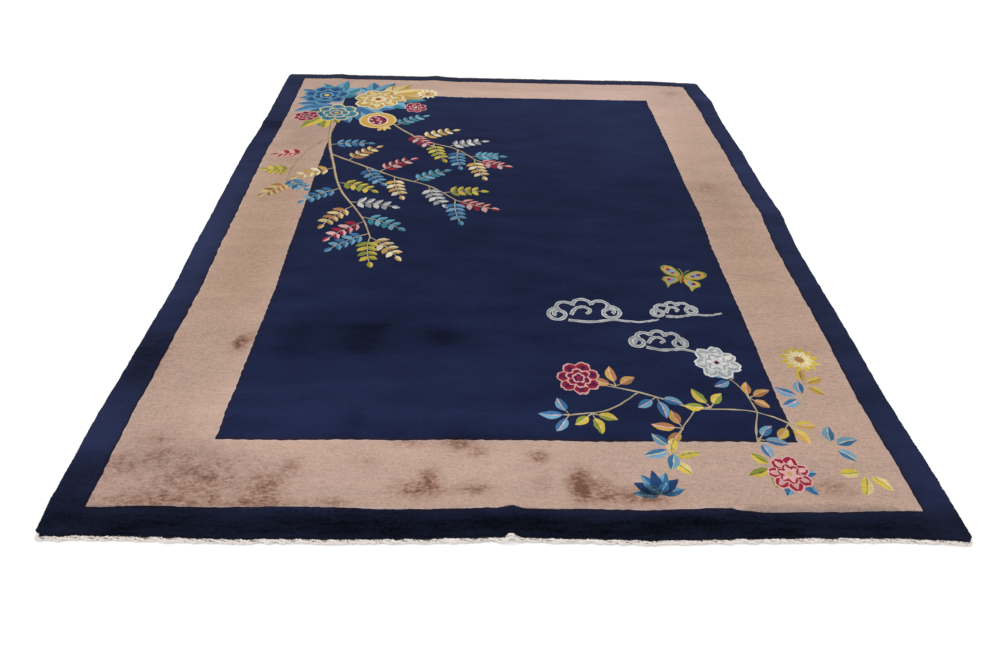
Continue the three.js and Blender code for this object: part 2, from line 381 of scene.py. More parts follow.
RED, WHITE, AMBER, LEMON = ("red", "pink"), ("white", "grey"), ("orange", "straw"), ("olive", "yellow")
SEA, SKY, SUN = ("teal", "sky"), ("blue", "sky"), ("gold", "cream")
SPRAY_BEND = 0.2
for x, y, turn, length, dyes, side in (
    (-0.6, 1.03, 52, 0.2, SEA, -1), (-0.5, 0.92, -62, 0.19, RED, 1), (-0.44, 0.86, 44, 0.21, SUN, -1),
    (-0.36, 0.8, -84, 0.2, LEMON, 1), (-0.28, 0.76, 34, 0.2, WHITE, -1), (-0.22, 0.73, -98, 0.2, SKY, 1),
    (-0.12, 0.6, -34, 0.16, RED, 1), (-0.13, 0.61, -88, 0.2, SUN, 1), (-0.15, 0.64, 16, 0.15, SEA, -1),
    (-0.8, 0.57, 62, 0.2, AMBER, -1), (-0.7, 0.5, -72, 0.2, SKY, 1), (-0.62, 0.45, 54, 0.2, RED, -1),
    (-0.54, 0.39, -88, 0.2, SUN, 1), (-0.44, 0.34, 50, 0.19, SEA, -1), (-0.36, 0.3, -78, 0.2, WHITE, 1),
    (-0.28, 0.23, 18, 0.18, LEMON, -1), (-0.22, 0.16, -36, 0.19, RED, 1), (-0.22, 0.16, -94, 0.2, SKY, 1),
    (-0.86, 0.48, 198, 0.2, SUN, 1), (-0.82, 0.32, -12, 0.19, LEMON, -1), (-0.8, 0.26, 208, 0.2, SKY, 1),
    (-0.74, 0.12, 2, 0.21, WHITE, -1), (-0.72, 0.08, 226, 0.2, AMBER, 1), (-0.66, -0.02, -16, 0.2, SEA, -1),
    (-0.64, -0.06, 214, 0.2, RED, 1), (-0.6, -0.2, -38, 0.2, SUN, -1), (-0.6, -0.2, -96, 0.2, LEMON, 1),
    (-0.61, -0.17, -152, 0.19, SKY, 1), (-1.05, 0.64, 172, 0.13, RED, 1),
    (-1.08, 0.46, 196, 0.12, LEMON, -1), (-1.08, 0.36, -58, 0.14, SKY, 1),
    (-1.08, 0.32, -112, 0.15, AMBER, -1), (-0.93, 0.76, 18, 0.2, SKY, -1),
):
    spray((x, y), turn, length, *dyes, SPRAY_BEND * side)
peony((-1.07, 1.47), 0.15, 12, "sky", "blue", "indigo", "yellow")
peony((-0.97, 1.2), 0.13, 40, "straw", "teal", "blue", "yellow")
peony((-0.74, 1.42), 0.155, 65, "cream", "gold", "straw", "red")
peony((-1.14, 1.14), 0.078, 0, "pink", "red", "crimson", "gold")
peony((-0.5, 1.3), 0.072, 30, "pink", "red", "crimson", "cream")
aster((-0.44, 1.52), 0.075, 5, "cream", "gold", "orange")
pomegranate((-0.71, 1.1), -68, 0.24)

# Near right corner: thin stems with leaves and blooms over the border, clouds and a butterfly in the field.
ribbon(((1.17, -1.6), (1.04, -1.42), (0.87, -1.31), (0.66, -1.29), (0.48, -1.21), (0.28, -1.16)),
       0.007, 0.005, "stem")
for path in (
    ((1.03, -1.41), (1.06, -1.26), (1.11, -1.1)), ((0.88, -1.31), (0.84, -1.45), (0.88, -1.57)),
    ((0.67, -1.29), (0.58, -1.42), (0.5, -1.6)), ((0.88, -1.31), (0.86, -1.2), (0.8, -1.1)),
    ((0.48, -1.21), (0.36, -1.3), (0.22, -1.33)),
):
    ribbon(path, 0.006, 0.005, "stem")
RUST, LAKE, LIME = ("orange", "gold", "pink"), ("blue", "sky", "pink"), ("olive", "yellow", "straw")
HONEY, ICE, CORN = ("gold", "yellow", "pink"), ("blue", "sky", "straw"), ("yellow", "straw", "olive")
OCHRE = ("gold", "yellow", "bark")
for x, y, turn, size, dyes in (
    (0.4, -1.18, 96, 0.085, RUST), (0.54, -1.235, -82, 0.085, LAKE), (0.72, -1.29, 116, 0.085, LIME),
    (0.97, -1.37, -66, 0.085, HONEY), (1.08, -1.47, 18, 0.085, ICE), (1.15, -1.58, -112, 0.085, CORN),
    (0.6, -1.39, 168, 0.085, RUST), (0.845, -1.44, -14, 0.08, LAKE), (1.065, -1.24, 148, 0.085, LAKE),
    (1.09, -1.17, 22, 0.075, OCHRE), (0.53, -1.52, 12, 0.085, CORN), (0.22, -1.33, 178, 0.085, LAKE),
    (0.3, -1.32, -76, 0.08, LIME), (0.87, -1.24, 24, 0.075, RUST), (0.55, -1.48, 196, 0.085, ICE),
    (0.86, -1.56, 200, 0.08, OLIVE), (0.9, -1.6, -50, 0.08, BLUE), (0.84, -1.14, 150, 0.08, LAKE),
):
    trefoil((x, y), turn, size, *dyes)
peony((0.8, -1.05), 0.09, 30, "white", "grey", "white", "crimson")
peony((0.27, -1.14), 0.085, 18, "pink", "red", "crimson", "red")
peony((0.9, -1.59), 0.075, 18, "pink", "red", "pink", "gold")
aster((1.12, -1.03), 0.078, 10, "yellow", "cream", "orange")
fan_bloom((0.47, -1.665), 0.092, 96, "blue", "indigo", "sky")
cloud((0.33, -0.76), 0.14, 4)
cloud((0.6, -0.94), 0.105, -3)
cloud((0.7, -0.74), 0.09, 8)
butterfly((0.78, -0.5), 0.2, -18, "gold", "olive", "red", "sky")

# The flat cloth is cut into triangles along every outline of the drawing, more closely where it arches.
SIDE_STEPS, END_STEPS, CORNER_STEPS = 150, 112, 5
SHOWN_SPACING, HIDDEN_SPACING, ARCH_SPACING = 0.024, 0.06, 0.012
ARCH_X, ARCH_Y = (-0.08, 0.1), (-1.8, -1.52)
RIM_INSETS, HIDDEN_INSET, GRID_INSET = (0.004, 0.009, RIM_REACH), 0.0004, 0.03
MERGE_REACH = 2e-5


def edge_ring(inset):
    """The edge of the flat cloth, this far in from it: always as many points, counterclockwise."""
    x, y = RUG_WIDTH / 2 - CORNER_RADIUS, RUG_LENGTH / 2 - CORNER_RADIUS
    ring = []
    for middle, first, run, steps in (
        ((x, -y), -90, (0, 2 * y), SIDE_STEPS), ((x, y), 0, (-2 * x, 0), END_STEPS),
        ((-x, y), 90, (0, -2 * y), SIDE_STEPS), ((-x, -y), 180, (2 * x, 0), END_STEPS),
    ):
        arc = np.radians(np.linspace(first, first + 90, CORNER_STEPS))
        corner = np.stack([np.cos(arc), np.sin(arc)], 1) * (CORNER_RADIUS - inset) + middle
        ring += [corner, corner[-1] + np.linspace(0, 1, steps + 1)[1:-1, None] * run]
    return np.vstack(ring)


def cut(loops, spacing, extra=()):
    """Triangles of the flat cloth: its points, triangles, and the point that each given point became."""
    points, edges = [], []
    for loop in loops:
        first = len(points)
        points += [Vector(p) for p in loop]
        edges += [(first + i, first + (i + 1) % len(loop)) for i in range(len(loop))]
    reach = [side / 2 - GRID_INSET for side in (RUG_WIDTH, RUG_LENGTH)]
    x, y = [np.arange(-r, r + 0.001, spacing) for r in reach]
    points += [Vector((a + (0.5 * spacing if row % 2 else 0), b)) for row, b in enumerate(y) for a in x[:-1]]
    points += [Vector(p) for p in extra]
    made, _, faces, behind, _, _ = geometry.delaunay_2d_cdt(points, edges, [], 0, MERGE_REACH, True)
    became = {given: point for point, all_given in enumerate(behind) for given in all_given}
    return np.array([tuple(p) for p in made]), np.array(faces), became


rim_loops = [edge_ring(inset) for inset in RIM_INSETS]
ring_size = len(rim_loops[0])
arch = [(x, y) for y in np.arange(*ARCH_Y, ARCH_SPACING) for x in np.arange(*ARCH_X, ARCH_SPACING)]
flat, triangles, became = cut(rim_loops + [points for points, _ in drawing], SHOWN_SPACING, arch)
ring_top = [became[i] for i in range(ring_size)]
hidden_flat, hidden_triangles, hidden_became = cut([edge_ring(HIDDEN_INSET)], HIDDEN_SPACING)
hidden_ring = [hidden_became[i] for i in range(ring_size)]

# The two lines between the dyes of the borders are clipped a little deeper.
first_point = np.cumsum([len(rim_loops) * ring_size] + [len(points) for points, _ in drawing])
on_line = np.zeros(len(flat), bool)
for line, (_, widened, _) in enumerate(FRAMES):
    if widened == 0:
        on_line[[became[i] for i in range(first_point[line], first_point[line + 1])]] = True

# Each triangle takes the last shape that holds its middle.
middles = flat[triangles].mean(1)
shape_of = np.full(len(triangles), -1)
for shape, (points, _) in enumerate(drawing):
    near = np.flatnonzero(((middles > points.min(0)) & (middles < points.max(0))).all(1))
    x, y = middles[near].T
    winding = np.zeros(len(near), int)
    for (ax, ay), (bx, by) in zip(points, np.roll(points, -1, 0)):
        if ay != by:
            crossed = ((ay > y) != (by > y)) & (x < (bx - ax) * (y - ay) / (by - ay) + ax)
            winding += np.where(crossed, 1 if by > ay else -1, 0)
    shape_of[near[winding != 0]] = shape


def linear(code):
    """A colour written as sRGB hex, as linear light, fully opaque."""
    part = [int(code[i:i + 2], 16) / 255 for i in (1, 3, 5)]
    return (*[c / 12.92 if c <= 0.04045 else ((c + 0.055) / 1.055) ** 2.4 for c in part], 1)


# Old spills in the tan wool and in the field: x, y, size across and along, depth.
STAINS = (
    (-1, -1.6, 0.27, 0.13, 0.31), (-1, -1.712, 0.34, 0.017, 0.6), (-1.095, -1.535, 0.06, 0.03, 0.4),
    (-1.14, -1.455, 0.05, 0.035, 0.36), (-1.22, -1.56, 0.04, 0.04, 0.35), (-0.998, -1.617, 0.05, 0.045, 0.4),
    (-0.916, -1.584, 0.04, 0.05, 0.3), (-0.91, -1.65, 0.06, 0.05, 0.42), (-1.07, -1.675, 0.06, 0.03, 0.42),
    (-0.744, -1.655, 0.05, 0.05, 0.7), (-0.685, -1.575, 0.03, 0.04, 0.55), (-0.74, -1.712, 0.05, 0.014, 0.5),
    (-0.538, -1.71, 0.04, 0.012, 0.6), (-0.45, -1.535, 0.04, 0.03, 0.25), (-0.31, -1.464, 0.06, 0.012, 0.55),
    (-0.28, -1.655, 0.065, 0.03, 1.05), (-0.25, -1.61, 0.024, 0.034, 1), (-0.19, -1.66, 0.06, 0.01, 0.35),
    (-0.16, -1.472, 0.04, 0.02, 1.2), (-0.093, -1.502, 0.035, 0.016, 0.7), (-0.1, -1.652, 0.05, 0.025, 0.55),
    (0.098, -1.522, 0.032, 0.018, 1.1), (0.1, -1.63, 0.04, 0.04, 0.2), (0.225, -1.638, 0.03, 0.058, 1.65),
    (0.295, -1.64, 0.05, 0.045, 0.5), (0.3, -1.685, 0.04, 0.02, 0.9), (0.42, -1.68, 0.08, 0.028, 0.95),
    (0.456, -1.655, 0.04, 0.02, 0.6), (1.03, -1.65, 0.05, 0.03, 0.4), (0.98, -1.64, 0.09, 0.03, 0.25),
    (1.06, 0.33, 0.09, 0.05, 0.35), (1.14, 1.61, 0.06, 0.05, 0.32), (1.11, 0.1, 0.08, 0.1, 0.1),
    (-1, -0.968, 0.02, 0.032, 1.5), (-0.97, -0.93, 0.03, 0.03, 0.55), (-1.31, -1.06, 0.08, 0.14, 0.5),
    (-1.33, -1.62, 0.1, 0.09, 0.2),
)
# Broad stretches where the pile has faded or is smudged dark, and painted sheen and shade where it leans
# towards or away from the light: x, y, size across and along, how much lighter.
TONE_AND_SHADE_PATCHES = (
    (-0.7, -1.3, 0.35, 0.2, 0.35), (-0.1, -1.3, 0.4, 0.2, 0.16), (0.1, 1.4, 0.9, 0.35, 0.25),
    (0.5, 0.65, 0.45, 0.3, 0.12), (0.15, -0.62, 0.4, 0.15, -0.1), (-0.88, -0.6, 0.1, 0.7, 0.1),
    (0.1, -0.92, 0.06, 0.03, -0.25), (0.85, 1.62, 0.4, 0.12, 0.11), (-0.1, -1.6, 1, 0.12, 0.05),
    (-1.1, -0.58, 0.16, 0.13, -0.05), (0.25, 0.1, 0.8, 0.55, -0.14), (-1.1, -0.2, 0.16, 0.9, -0.1),
    (1.1, 0.2, 0.16, 1.1, -0.09), (-1.1, 1, 0.16, 0.4, -0.12), (0, 1.62, 1.5, 0.11, -0.06),
    (-1.05, -1.58, 0.3, 0.14, -0.06), (-0.53, -0.875, 0.15, 0.07, -0.36), (-0.46, -0.835, 0.14, 0.05, -0.2),
    (-0.52, -0.95, 0.17, 0.08, -0.14), (-0.81, -0.95, 0.07, 0.1, -0.42), (-0.78, -1.03, 0.09, 0.04, -0.18),
    (-0.25, -0.9, 0.1, 0.07, -0.4), (-0.2, -0.945, 0.08, 0.04, -0.18), (-0.53, -0.985, 0.08, 0.07, -0.34),
    (-0.58, -0.98, 0.36, 0.16, -0.1), (-1.1, -1.2, 0.16, 0.3, -0.04), (0.75, 1, 0.35, 0.4, 0.26),
    (-0.35, -0.4, 0.4, 0.3, -0.08), (-0.515, -1.37, 0.035, 0.07, -0.32), (-0.37, -1.425, 0.08, 0.025, -0.34),
    (-0.175, -1.43, 0.09, 0.03, -0.4),
)
# The same in the outer band alone, all painted light and shade: painted shade where it leans away from the
# light at its near end and along its creases, painted sheen where it leans into the light on the left.
BAND_LIGHT_AND_SHADE = (
    (0, -1.79, 6, 0.07, -0.7), (0, -1.79, 0.85, 0.06, -0.12), (-1.34, 1.45, 0.1, 0.2, 0.4),
    (-1.34, 0.3, 0.1, 0.5, 0.45), (-1.34, -0.35, 0.1, 0.38, 0.75), (-1.31, -1, 0.1, 0.09, -0.2),
    (-1.3, -1.14, 0.09, 0.13, -0.24), (-1.34, -1.41, 0.1, 0.14, 0.55), (-1.32, -1.64, 0.1, 0.1, -0.34),
    (-1.31, 1.04, 0.12, 0.014, -0.5), (-1.29, 0.985, 0.06, 0.05, -0.3), (1.34, 0.2, 0.08, 2.5, 0.35),
    (1.34, -0.92, 0.1, 0.45, -0.26), (1.34, -1.51, 0.09, 0.07, 0.25), (1.35, 1.5, 0.06, 0.15, 0.3),
    (1.33, 0.4, 0.08, 0.3, 0.2), (1.33, -1.67, 0.09, 0.08, -0.15), (0, 1.8, 6, 0.05, 0.3),
    (1.33, 1.55, 0.09, 0.04, 0.28), (1.33, 1.44, 0.09, 0.05, -0.38), (1.33, 0.13, 0.09, 0.05, 0.25),
    (1.33, 0, 0.09, 0.06, -0.2), (1.31, 0.6, 0.06, 0.1, 0.2), (1.33, 0.8, 0.08, 0.05, -0.15),
)
# Where years of light have yellowed the wool; where the depth is below zero it is greyed, as stains at the
# near end and as a painted sheen at the far end.
AGED_AND_SHEEN = (
    (-1.1, 0.05, 0.2, 0.75, 1), (1.1, -0.2, 0.2, 0.8, 0.75), (0, -1.82, 6, 0.07, 1),
    (-1.1, -0.58, 0.16, 0.16, 0.4), (0.8, 1.62, 0.6, 0.25, -0.6), (-1, -1.58, 0.35, 0.13, -0.4),
    (0, -1.6, 1, 0.1, -0.12), (0, 1.83, 6, 0.05, 3.2),
)


def spread_of(rows, points):
    """The sum of soft patches, from rows of x, y, size across and along, and depth."""
    total = np.zeros(len(points))
    for x, y, across, along, depth in rows:
        total += depth * np.exp(-((points[:, 0] - x) / across) ** 2 - ((points[:, 1] - y) / along) ** 2)
    return total


def shown(name, data):
    """A new object with this data, put in the scene."""
    made = bpy.data.objects.new(name, data)
    bpy.context.scene.collection.objects.link(made)
    return made


# The laid cloth is moved so that its outline lies over the solid rug.
outline = laid(edge_ring(0), 0)
rug_low, rug_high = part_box("rug")
lie = np.array([
    (rug_low[i] + rug_high[i]) / 2 - (outline[:, i].min() + outline[:, i].max()) / 2 for i in (0, 1)] + [0])
DYE_VARIETY = 0.13


def slab(name, shown_height, rings, hidden_height, faces_up):
    """One layer of the cloth as a closed mesh: its shown side has the drawing, its hidden side is coarse."""
    rims = [laid(edge_ring(inset), height) for inset, height in rings]
    points = np.vstack([laid(flat, shown_height)] + rims + [laid(hidden_flat, hidden_height)]) + lie
    first_hidden = len(points) - len(hidden_flat)
    loops = [ring_top]
    loops += [np.arange(ring_size) + len(flat) + k * ring_size for k in range(len(rings))]
    loops += [np.array(hidden_ring) + first_hidden]
    walls = [
        (lower[i], lower[(i + 1) % ring_size], upper[(i + 1) % ring_size], upper[i])
        for upper, lower in zip(loops, loops[1:]) for i in range(ring_size)
    ]
    faces = [tuple(map(int, f)) for f in (*triangles, *walls, *(hidden_triangles[:, ::-1] + first_hidden))]
    if not faces_up:
        faces = [f[::-1] for f in faces]
    mesh = bpy.data.meshes.new(name)
    mesh.from_pydata(points.tolist(), [], faces)
    mesh.shade_smooth()

    # Each shape of the drawing is a little lighter or darker than its dye; what no shape covers is dusk.
    dyes = np.array([linear(DYES[dye]) for _, dye in drawing] + [linear(DYES["dusk"])])
    shades = 1 + DYE_VARIETY * np.sin(12.9 * np.arange(len(drawing) - len(FRAMES)))
    dyes[len(FRAMES):-1, :3] *= shades[:, None]
    corner_dye = np.full(len(mesh.loops), -1)
    corner_dye[:3 * len(triangles)] = np.repeat(shape_of, 3)
    mesh.attributes.new("dye", "FLOAT_COLOR", "CORNER").data.foreach_set("color", dyes[corner_dye].ravel())
    unlaid = np.vstack([flat] + [edge_ring(inset) for inset, _ in rings] + [hidden_flat])
    in_band = ((unlaid < np.array(BAND_EDGE)[[0, 2]]) | (unlaid > np.array(BAND_EDGE)[[1, 3]])).any(1)
    # The stains are the wool's own; the tone and aged values hold painted sheen and shade besides the wool's
    # own fading and yellowing.
    wear_and_shading = {
        "stain": spread_of(STAINS, points), "aged_and_sheen": spread_of(AGED_AND_SHEEN, points),
        "tone_and_shade": spread_of(TONE_AND_SHADE_PATCHES, points) + in_band * spread_of(BAND_LIGHT_AND_SHADE, points),
    }
    for label, values in wear_and_shading.items():
        mesh.attributes.new(label, "FLOAT", "POINT").data.foreach_set("value", values)

    # The drawing fills the map, the walls lie in a strip above it and the hidden side in a small corner.
    corner_point = np.empty(len(mesh.loops), int)
    mesh.loops.foreach_get("vertex_index", corner_point)
    map_at = np.zeros((len(mesh.loops), 2))
    size = np.array((RUG_WIDTH, RUG_LENGTH))
    first_wall, first_under = 3 * len(triangles), 3 * len(triangles) + 4 * len(walls)
    map_at[:first_wall] = (flat[corner_point[:first_wall]] / size + 0.5) * (0.98, 0.93) + 0.01
    row, step = np.divmod(np.arange(len(walls))[:, None], ring_size)
    u, v = step + (0, 1, 1, 0), row + (1, 1, 0, 0)
    wall_at = np.stack([0.01 + 0.9 * u / ring_size, 0.955 + 0.008 * v], 2)
    map_at[first_wall:first_under] = wall_at[:, ::1 if faces_up else -1].reshape(-1, 2)
    under_at = hidden_flat[corner_point[first_under:] - first_hidden] / size + 0.5
    map_at[first_under:] = under_at * 0.04 + (0.93, 0.95)
    mesh.uv_layers.new(name="OFBake").data.foreach_set("uv", map_at.ravel())
    return shown(name, mesh)


UNEVENNESS, UNEVEN_FROM, LINE_DEPTH = 0.0005, 0.05, 0.0018
# The rings round the edge of the pile, from its top down: how far in from the edge, and how high.
PILE_RINGS = ((0.0012, 0.0088), (0, 0.006))
inward = np.minimum(RUG_WIDTH / 2 - np.abs(flat[:, 0]), RUG_LENGTH / 2 - np.abs(flat[:, 1]))
fall = np.clip(1 - inward / RIM_REACH, 0, None)
uneven = UNEVENNESS * np.sin(flat[:, 0] * 53 + 1.3 * np.sin(flat[:, 1] * 31)) * np.sin(flat[:, 1] * 47)
uneven *= np.clip(inward / UNEVEN_FROM, 0, 1)
pile_height = PILE_TOP - RIM_DROP * fall ** 2 + uneven - LINE_DEPTH * on_line
pile = slab("pile", pile_height, PILE_RINGS, PILE_FOOT, True)


def add(tree, kind, links=(), out=0, **settings):
    """A node of this kind in a tree, with its settings and links; gives one of its outputs.

    The kind is named without its family and may end with its operation, mode or type of data. links holds
    the inputs, in order or by name: each is a value, another node's output or a list of outputs."""
    kind, *choice = kind.split()
    families = ("ShaderNode", "GeometryNode", "FunctionNode", "Node")
    made = tree.nodes.new(next(f for f in families if hasattr(bpy.types, f + kind)) + kind)
    if choice:
        settings[next(s for s in ("operation", "mode", "data_type") if hasattr(made, s))] = choice[0]
    for name, value in settings.items():
        setattr(made, name, value)
    for name, source in links.items() if isinstance(links, dict) else enumerate(links):
        if isinstance(source, (list, bpy.types.NodeSocket)):
            for output in source if isinstance(source, list) else [source]:
                tree.links.new(output, made.inputs[name])
        else:
            made.inputs[name].default_value = source
    return made.outputs[out] if len(made.outputs) else made


def material(name):
    """A new material without nodes, and the function that adds them."""
    made = bpy.data.materials.new(name)
    made.use_nodes = True
    made.node_tree.nodes.clear()
    return made, partial(add, made.node_tree)


# Wool pile material: matt and soft, with a faint light bloom at low angles, speckled by its cut ends,
# streaked along the rows of knots and clouded where the dye took unevenly; its colour also carries painted
# sheen and shade.
wool, node = material("clipped_wool")
place = node("TexCoord", out="Object")
dye = node("Attribute", attribute_name="dye")
# The tone and aged attributes carry painted sheen and shade as well as the wool's fading and yellowing.
stain, tone_and_shade, aged_and_sheen = [node("Attribute", out="Fac", attribute_name=name) for name in ("stain", "tone_and_shade", "aged_and_sheen")]
# Each pattern's size in metres across, along and up, its detail and its roughness. The cut ends are some
# 3 mm wide and are drawn at 4.5 mm so that they show at a distance.
PATTERNS = (
    ("ends", 0.0045, 0.0045, 0.0045, 2, 0.5), ("rows", 0.03, 0.005, 0.02, 1, 0.5),
    ("bands", 1.6, 0.1, 0.5, 2, 0.5), ("mottle", 0.01, 0.01, 0.01, 3, 0.5), ("clouds", 0.3, 0.1, 0.2, 4, 0.5),
    ("streaks", 0.12, 0.022, 0.1, 3, 0.5), ("blots", 0.034, 0.028, 0.03, 6, 0.72),
    ("grain", 0.014, 0.0065, 0.02, 2, 0.5),
)
pattern = {}
for name, across, along, up, detail, roughness in PATTERNS:
    scaled = node("Mapping", {"Vector": place, "Scale": (1 / across, 1 / along, 1 / up)})
    pattern[name] = node("TexNoise", {"Vector": scaled, "Scale": 1, "Detail": detail, "Roughness": roughness})
# The painted sheen and shade of the leaning pile, and its faded stretches, break into streaks along the rows,
# and dark wool shows clouds more than pale wool does.
streaky = node("MapRange", (pattern["streaks"], 0.3, 0.7, 0.87, 1.13))
tone_and_shade = node("Math MULTIPLY", (tone_and_shade, streaky))
paleness = node("RGBToBW", (dye,))
cloudy = node("MapRange", (paleness, 0.02, 0.25, 1, 0.28))
clouds = node("Math SUBTRACT", (pattern["clouds"], 0.5))
light = node("Math MULTIPLY_ADD", (clouds, cloudy, tone_and_shade))
SHARES = {"ends": 0.6, "rows": 0.34, "bands": 0.16, "mottle": 0.42}
for name, share in SHARES.items():
    light = node("Math MULTIPLY_ADD", (pattern[name], share, light))
light = node("Math ADD", (light, 1 - sum(SHARES.values()) / 2))
light = node("Math MAXIMUM", (light, 0.08))
lit = node("VectorMath SCALE", {0: dye, "Scale": light})
# A Mix node takes two colours at its inputs 6 and 7 and gives one at its output 2.
# Below zero the factor greys the wool instead: as stains at the near end, as a painted sheen at the far end.
yellowing_and_sheen = {"Factor": aged_and_sheen, 6: linear("#ffffff"), 7: linear("#fffaef")}
yellowed_and_sheened = node("Mix RGBA", yellowing_and_sheen, 2, clamp_factor=False)
lit = node("VectorMath MULTIPLY", (lit, yellowed_and_sheened))
# A thin stain is rust brown, a deep one dark brown, and both break up into blots and along the rows.
blot = node("MapRange", (pattern["blots"], 0.34, 0.64, 0.15, 1.15))
grain = node("MapRange", (pattern["grain"], 0.3, 0.7, 0.38, 1.62))
blot = node("Math MULTIPLY", (blot, grain))
depth = node("Math MULTIPLY", (stain, blot), use_clamp=True)
soil = node("ValToRGB", (depth,))
brown = soil.node.color_ramp.elements
brown[0].color = linear("#ffffff")
brown[1].color = linear("#a28a81")
brown.new(0.45).color = linear("#d3c2bc")
worn = node("VectorMath MULTIPLY", (lit, soil))
relief = node("Math MULTIPLY_ADD", (pattern["rows"], 0.5, pattern["ends"]))
bump = node("Bump", {"Height": relief, "Strength": 0.5, "Distance": 0.003})
MATT_WOOL = {
    "Roughness": 1, "Specular IOR Level": 0.03, "Sheen Weight": 0.03, "Sheen Roughness": 0.5,
    "Sheen Tint": linear("#c4d3ff"),
}
shader = node("BsdfPrincipled", {"Base Color": worn, "Normal": bump, **MATT_WOOL})
node("OutputMaterial", {"Surface": shader})
pile.data.materials.append(wool)
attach(pile, "root")
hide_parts("rug")


# Foundation.
# Cotton warps and wefts about 3 mm thick under the pile; each knot shows on the back as a small loop of wool,
# so that the design can be read there in reverse.
BACK_RINGS, FOUNDATION_TOP = ((0.0008, 0.001), (0.0003, 0.002)), 0.003
foundation = slab("foundation", np.zeros(len(flat)), BACK_RINGS, FOUNDATION_TOP, False)
# Knotted back: rough loops of wool with cream cotton between them, drawn at 7 mm, twice their real pitch,
# so that they show at a distance.
LOOP_PITCH = 0.007
back, node = material("knotted_back")
place = node("TexCoord", out="Object")
dye = node("Attribute", attribute_name="dye")
knots = node("TexVoronoi", {"Vector": place, "Scale": 1 / LOOP_PITCH, "Randomness": 0.25})
weft = node("MapRange", (knots, 0.45, 0.75))
mixed = node("Mix RGBA", {"Factor": weft, 6: dye, 7: linear("#cfc6b6")}, 2)
bump = node("Bump", {"Height": knots, "Strength": 0.6, "Distance": 0.002}, invert=True)
shader = node("BsdfPrincipled", {
    "Base Color": mixed, "Roughness": 0.9, "Specular IOR Level": 0.15, "Normal": bump})
node("OutputMaterial", {"Surface": shader})
foundation.data.materials.append(back)
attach(foundation, "root")
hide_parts("rug")


# Edge tufts.
# The outermost knots have no neighbour to hold them up, so that their ends splay outwards all round the pile
# and leave a slightly ragged edge.
TUFT_PITCH, TUFT_ROOT = 0.0022, 0.0072
TUFT_INSET, TUFT_MARGIN, EDGE_STEPS = 0.0015, 0.015, 300
side_x, side_y = RUG_WIDTH / 2 - TUFT_INSET, RUG_LENGTH / 2 - TUFT_MARGIN
end_x, end_y = RUG_WIDTH / 2 - TUFT_MARGIN, RUG_LENGTH / 2 - TUFT_INSET
# Each run's lines from x, y to x, y on the flat cloth, and its tufts: how upright, their length and wool.
EDGE_RUNS = (
    ("side_tufts", ((side_x, -side_y, side_x, side_y), (-side_x, side_y, -side_x, -side_y)),
     2.2, 0.004, "edge_wool"),
    ("near_end_tufts", ((-end_x, -end_y, end_x, -end_y),), 0.4, 0.0065, "shaded_edge_wool"),
    ("far_end_tufts", ((end_x, end_y, -end_x, end_y),), 0.3, 0.003, "edge_wool"),
)

# Splayed wool: as matt as the pile and patchy, almost black at the near end, where it leans out of the light.
PATCH_SIZE = 0.02
edge_wools = {}
for name, dark, pale in (("edge_wool", "#171b30", "#282e4c"), ("shaded_edge_wool", "#16151c", "#24232d")):
    edge_wools[name], node = material(name)
    place = node("TexCoord", out="Object")
    patch = node("TexNoise", {"Vector": place, "Scale": 1 / PATCH_SIZE, "Detail": 2})
    mixed = node("Mix RGBA", {"Factor": patch, 6: linear(dark), 7: linear(pale)}, 2)
    shader = node("BsdfPrincipled", {"Base Color": mixed, **MATT_WOOL})
    node("OutputMaterial", {"Surface": shader})


def growth(name, inputs, output):
    """A new geometry tree, the function that adds its nodes, and its inputs, given by name and kind."""
    tree = bpy.data.node_groups.new(name, "GeometryNodeTree")
    for label, kind in inputs.items():
        tree.interface.new_socket(label, in_out="INPUT", socket_type="NodeSocket" + kind)
    tree.interface.new_socket(output, in_out="OUTPUT", socket_type="NodeSocketGeometry")
    node = partial(add, tree)
    return tree, node, node("GroupInput").node.outputs


def grown(name, lines, tree, values, surface):
    """A plain mesh object, made by a geometry tree from open paths through these rows of points."""
    path = bpy.data.curves.new(name, "CURVE")
    path.dimensions = "3D"
    for points in lines:
        spline = path.splines.new("POLY")
        spline.points.add(len(points) - 1)
        spline.points.foreach_set("co", np.column_stack([points, np.ones(len(points))]).ravel())
    source = shown(name + "_path", path)
    grower = source.modifiers.new("grown", "NODES")
    grower.node_group = tree
    for socket in tree.interface.items_tree:
        if socket.in_out == "INPUT" and socket.name in values:
            grower[socket.identifier] = values[socket.name]
    path.update_tag()
    graph = bpy.context.evaluated_depsgraph_get()
    mesh = bpy.data.meshes.new_from_object(source.evaluated_get(graph), depsgraph=graph)
    bpy.data.objects.remove(source)
    mesh.name = name
    mesh.materials.clear()
    mesh.materials.append(surface)
    return shown(name, mesh)


grow, node, given = growth("edge_tufts", {
    "Rim": "Geometry", "Pitch": "Float", "Length": "Float", "Upright": "Float", "Wool": "Material"}, "Tufts")
rim_points = node("CurveToPoints LENGTH", {"Curve": given["Rim"], "Length": given["Pitch"]})
tangent = rim_points.node.outputs["Tangent"]
leaning = node("VectorMath CROSS_PRODUCT", (tangent, (0, 0, 1)))
